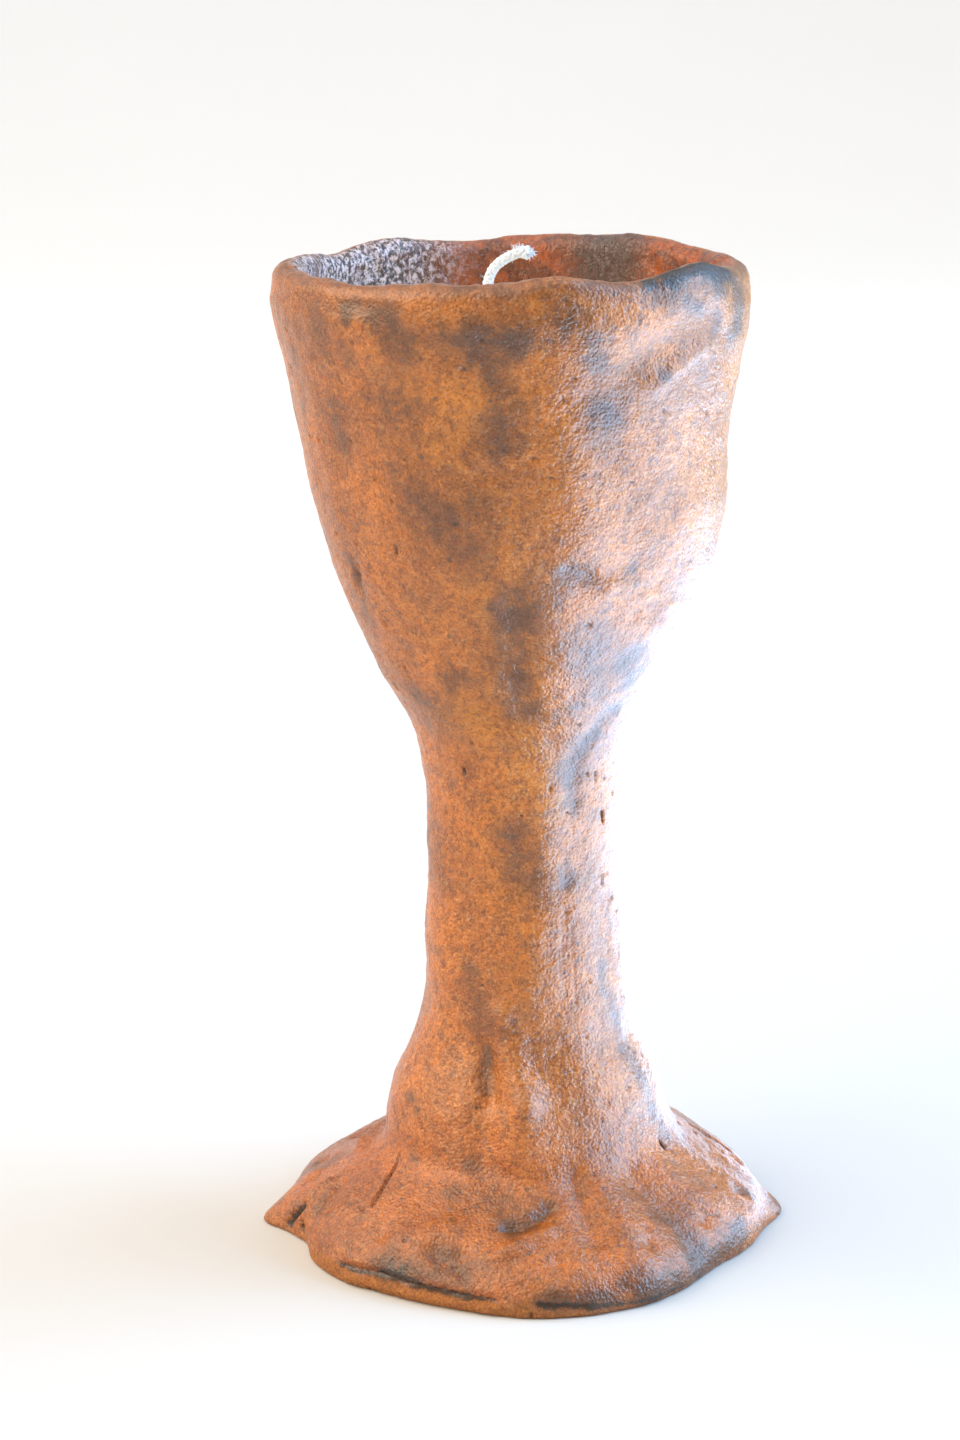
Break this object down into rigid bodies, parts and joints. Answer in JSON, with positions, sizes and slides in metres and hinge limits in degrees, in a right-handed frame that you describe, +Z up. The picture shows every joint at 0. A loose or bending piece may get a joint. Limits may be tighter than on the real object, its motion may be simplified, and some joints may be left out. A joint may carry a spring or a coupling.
{
  "type": "goblet candle",
  "caption": "Hand-built stoneware goblet on a flared skirt foot, its cup filled with wax around a braided cotton wick with a frayed end.",
  "frame": {"origin": "on the table under the middle of the foot", "axes": "+Z up, -Y towards the goblet's front, +X to the right as seen from the front"},
  "size_m": [0.0977, 0.098, 0.1835],
  "materials": {
    "bowl_clay": "semi-gloss mottled iron glaze over grogged clay",
    "stem_clay": "thin semi-gloss iron glaze over grogged clay",
    "foot_clay": "thin semi-gloss iron glaze, bare clay at the edge",
    "wax": "satin poured wax",
    "wick_cotton": "braided cotton, primed with wax",
    "tab_metal": "pressed tinplate",
    "sticker_foam": "closed-cell foam"
  },
  "bodies": {
    "root": {"bowl": "bowl_clay", "stem": "stem_clay", "foot": "foot_clay", "wax_fill": "wax", "wick": "wick_cotton", "wick_tab": "tab_metal", "wick_sticker": "sticker_foam"}
  },
  "joints": []
}
